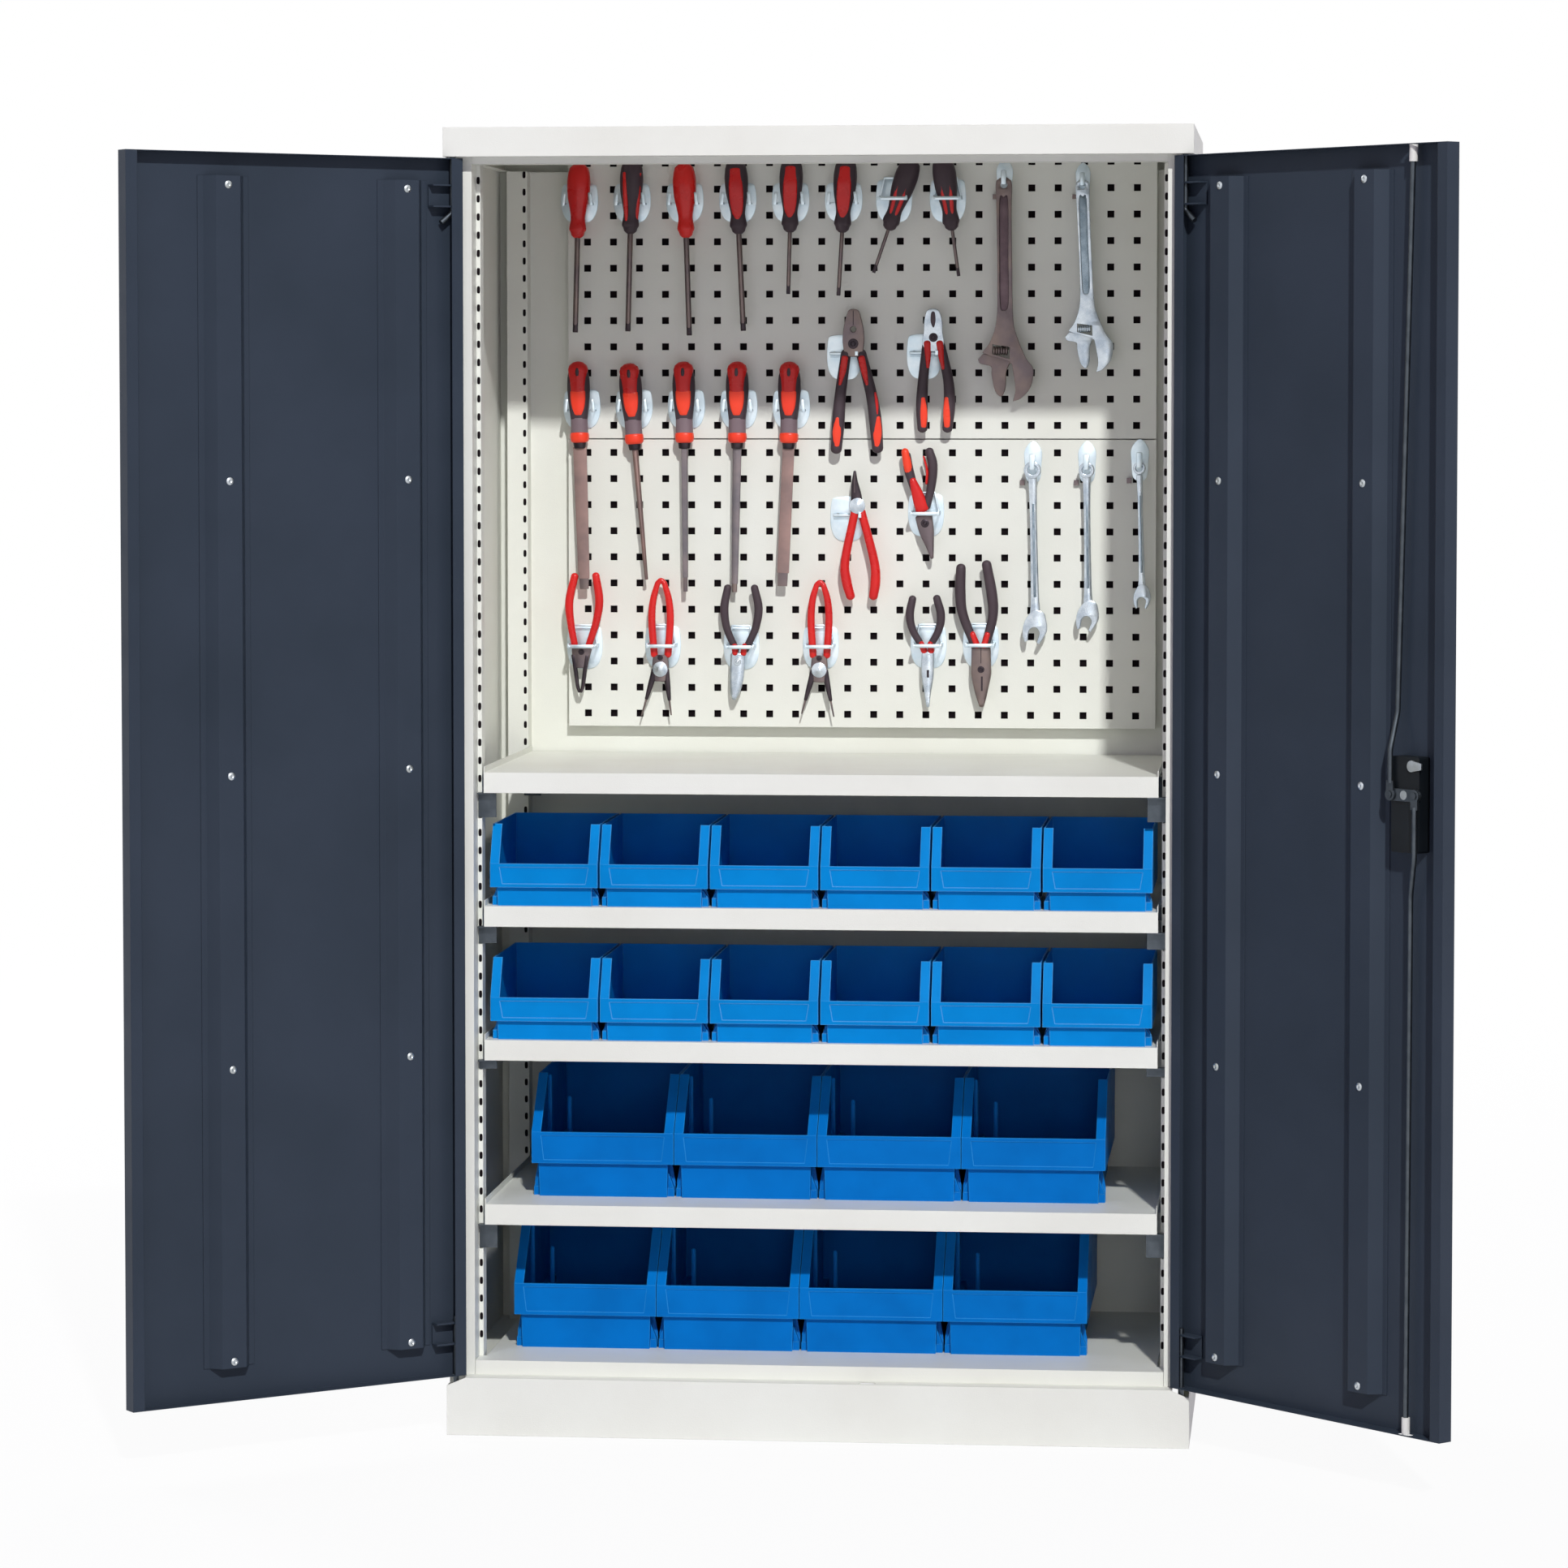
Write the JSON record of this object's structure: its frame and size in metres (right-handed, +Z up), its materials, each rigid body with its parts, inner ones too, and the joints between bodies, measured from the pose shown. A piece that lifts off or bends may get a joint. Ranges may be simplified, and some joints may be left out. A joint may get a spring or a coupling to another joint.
{
  "type": "tool cabinet",
  "caption": "Tall two-door steel tool cabinet with a perforated tool wall, shelves and open-fronted storage bins; both doors swing, with a turning handle that drives two locking rods.",
  "frame": {"origin": "middle of the cabinet's footprint on the floor (doors not counted)", "axes": "+X to the right seen from the front, +Y to the back, +Z up; the doors are on the -Y side"},
  "size_m": [1.7542, 0.9076, 1.8],
  "materials": {
    "ivory": "light ivory powder coat, fine texture, semi-matt",
    "anthracite": "anthracite grey powder coat, semi-matt",
    "zinc": "zinc-plated steel, satin",
    "black": "black glass-filled plastic, matt",
    "white": "white plastic",
    "chrome": "chrome-plated",
    "bright_blue": "bright blue polypropylene, satin",
    "tool_red": "red plastic of the hand tools' handles",
    "tool_grip": "dark grey soft grips of the hand tools",
    "tool_steel": "ground and oiled tool steel",
    "deep_blue": "deep blue polypropylene, satin"
  },
  "bodies": {
    "cabinet": {"left_side": "ivory", "right_side": "ivory", "rear_posts": "ivory", "back_panel": "ivory", "top_cap": "ivory", "head_rail": "ivory", "plinth": "ivory", "floor_pan": "ivory", "hinge_plates": "zinc", "shelf_1": "ivory", "shelf_2": "ivory", "shelf_3": "ivory", "shelf_4": "ivory", "shelf_clips": "zinc", "lower_pegboard": "ivory", "upper_pegboard": "ivory", "pegboard_rails": "ivory"},
    "left_door": {"left_door": "anthracite", "left_door_stiffeners": "anthracite", "left_hinge_brackets": "anthracite", "left_hinge_pins": "zinc"},
    "right_door": {"right_door": "anthracite", "right_door_stiffeners": "anthracite", "right_hinge_brackets": "anthracite", "right_hinge_pins": "zinc", "lock_case": "black", "lock_rose": "black"},
    "handle": {"handle": "black", "spindle": "zinc", "rod_cam": "zinc"},
    "key": {"key_cylinder": "chrome", "key_tongue": "zinc"},
    "upper_rod": {"upper_rod": "zinc", "upper_rod_tip": "white"},
    "lower_rod": {"lower_rod": "zinc", "lower_rod_tip": "white"},
    "large_bin_1": {"large_bin_1": "deep_blue"},
    "large_bin_2": {"large_bin_2": "deep_blue"},
    "large_bin_3": {"large_bin_3": "deep_blue"},
    "large_bin_4": {"large_bin_4": "deep_blue"},
    "large_bin_5": {"large_bin_5": "deep_blue"},
    "large_bin_6": {"large_bin_6": "deep_blue"},
    "large_bin_7": {"large_bin_7": "deep_blue"},
    "large_bin_8": {"large_bin_8": "deep_blue"},
    "small_bin_1": {"small_bin_1": "bright_blue"},
    "small_bin_2": {"small_bin_2": "bright_blue"},
    "small_bin_3": {"small_bin_3": "bright_blue"},
    "small_bin_4": {"small_bin_4": "bright_blue"},
    "small_bin_5": {"small_bin_5": "bright_blue"},
    "small_bin_6": {"small_bin_6": "bright_blue"},
    "small_bin_7": {"small_bin_7": "bright_blue"},
    "small_bin_8": {"small_bin_8": "bright_blue"},
    "small_bin_9": {"small_bin_9": "bright_blue"},
    "small_bin_10": {"small_bin_10": "bright_blue"},
    "small_bin_11": {"small_bin_11": "bright_blue"},
    "small_bin_12": {"small_bin_12": "bright_blue"}
  },
  "joints": [
    {"name": "left_door_hinge", "type": "hinge", "parent": "cabinet", "child": "left_door", "pos_m": [-0.5, -0.2665, 0], "axis": [0, 0, -1], "range_deg": [-141.35, 38.65]},
    {"name": "right_door_hinge", "type": "hinge", "parent": "cabinet", "child": "right_door", "pos_m": [0.5, -0.2665, 0], "axis": [0, 0, 1], "range_deg": [-134.5, 45.5]},
    {"name": "handle_turn", "type": "hinge", "parent": "right_door", "child": "handle", "pos_m": [0.80139, -0.5732, 0.918], "axis": [-0.7133, -0.7009, 0], "range_deg": [-90, 0]},
    {"name": "key_turn", "type": "hinge", "parent": "right_door", "child": "key", "pos_m": [0.8105, -0.58247, 0.956], "axis": [0.7133, 0.7009, 0], "range_deg": [-90, 0]},
    {"name": "upper_rod_pin", "type": "hinge", "parent": "handle", "child": "upper_rod", "pos_m": [0.78597, -0.55751, 0.918], "axis": [-0.7133, -0.7009, 0], "range_deg": [0, 92]},
    {"name": "lower_rod_pin", "type": "hinge", "parent": "handle", "child": "lower_rod", "pos_m": [0.81681, -0.58889, 0.918], "axis": [-0.7133, -0.7009, 0], "range_deg": [0, 92]},
    {"name": "large_bin_1_slide", "type": "slide", "parent": "cabinet", "child": "large_bin_1", "axis": [0, -1, 0], "range_m": [0, 0.18]},
    {"name": "large_bin_2_slide", "type": "slide", "parent": "cabinet", "child": "large_bin_2", "axis": [0, -1, 0], "range_m": [0, 0.18]},
    {"name": "large_bin_3_slide", "type": "slide", "parent": "cabinet", "child": "large_bin_3", "axis": [0, -1, 0], "range_m": [0, 0.18]},
    {"name": "large_bin_4_slide", "type": "slide", "parent": "cabinet", "child": "large_bin_4", "axis": [0, -1, 0], "range_m": [0, 0.18]},
    {"name": "large_bin_5_slide", "type": "slide", "parent": "cabinet", "child": "large_bin_5", "axis": [0, -1, 0], "range_m": [0, 0.18]},
    {"name": "large_bin_6_slide", "type": "slide", "parent": "cabinet", "child": "large_bin_6", "axis": [0, -1, 0], "range_m": [0, 0.18]},
    {"name": "large_bin_7_slide", "type": "slide", "parent": "cabinet", "child": "large_bin_7", "axis": [0, -1, 0], "range_m": [0, 0.18]},
    {"name": "large_bin_8_slide", "type": "slide", "parent": "cabinet", "child": "large_bin_8", "axis": [0, -1, 0], "range_m": [0, 0.18]},
    {"name": "small_bin_1_slide", "type": "slide", "parent": "cabinet", "child": "small_bin_1", "axis": [0, -1, 0], "range_m": [0, 0.12]},
    {"name": "small_bin_2_slide", "type": "slide", "parent": "cabinet", "child": "small_bin_2", "axis": [0, -1, 0], "range_m": [0, 0.12]},
    {"name": "small_bin_3_slide", "type": "slide", "parent": "cabinet", "child": "small_bin_3", "axis": [0, -1, 0], "range_m": [0, 0.12]},
    {"name": "small_bin_4_slide", "type": "slide", "parent": "cabinet", "child": "small_bin_4", "axis": [0, -1, 0], "range_m": [0, 0.12]},
    {"name": "small_bin_5_slide", "type": "slide", "parent": "cabinet", "child": "small_bin_5", "axis": [0, -1, 0], "range_m": [0, 0.12]},
    {"name": "small_bin_6_slide", "type": "slide", "parent": "cabinet", "child": "small_bin_6", "axis": [0, -1, 0], "range_m": [0, 0.12]},
    {"name": "small_bin_7_slide", "type": "slide", "parent": "cabinet", "child": "small_bin_7", "axis": [0, -1, 0], "range_m": [0, 0.12]},
    {"name": "small_bin_8_slide", "type": "slide", "parent": "cabinet", "child": "small_bin_8", "axis": [0, -1, 0], "range_m": [0, 0.12]},
    {"name": "small_bin_9_slide", "type": "slide", "parent": "cabinet", "child": "small_bin_9", "axis": [0, -1, 0], "range_m": [0, 0.12]},
    {"name": "small_bin_10_slide", "type": "slide", "parent": "cabinet", "child": "small_bin_10", "axis": [0, -1, 0], "range_m": [0, 0.12]},
    {"name": "small_bin_11_slide", "type": "slide", "parent": "cabinet", "child": "small_bin_11", "axis": [0, -1, 0], "range_m": [0, 0.12]},
    {"name": "small_bin_12_slide", "type": "slide", "parent": "cabinet", "child": "small_bin_12", "axis": [0, -1, 0], "range_m": [0, 0.12]}
  ],
  "couplings": [
    {"joint": "upper_rod_pin", "follows": "handle_turn", "ratio": -1.0167},
    {"joint": "lower_rod_pin", "follows": "handle_turn", "ratio": -1.0167}
  ]
}
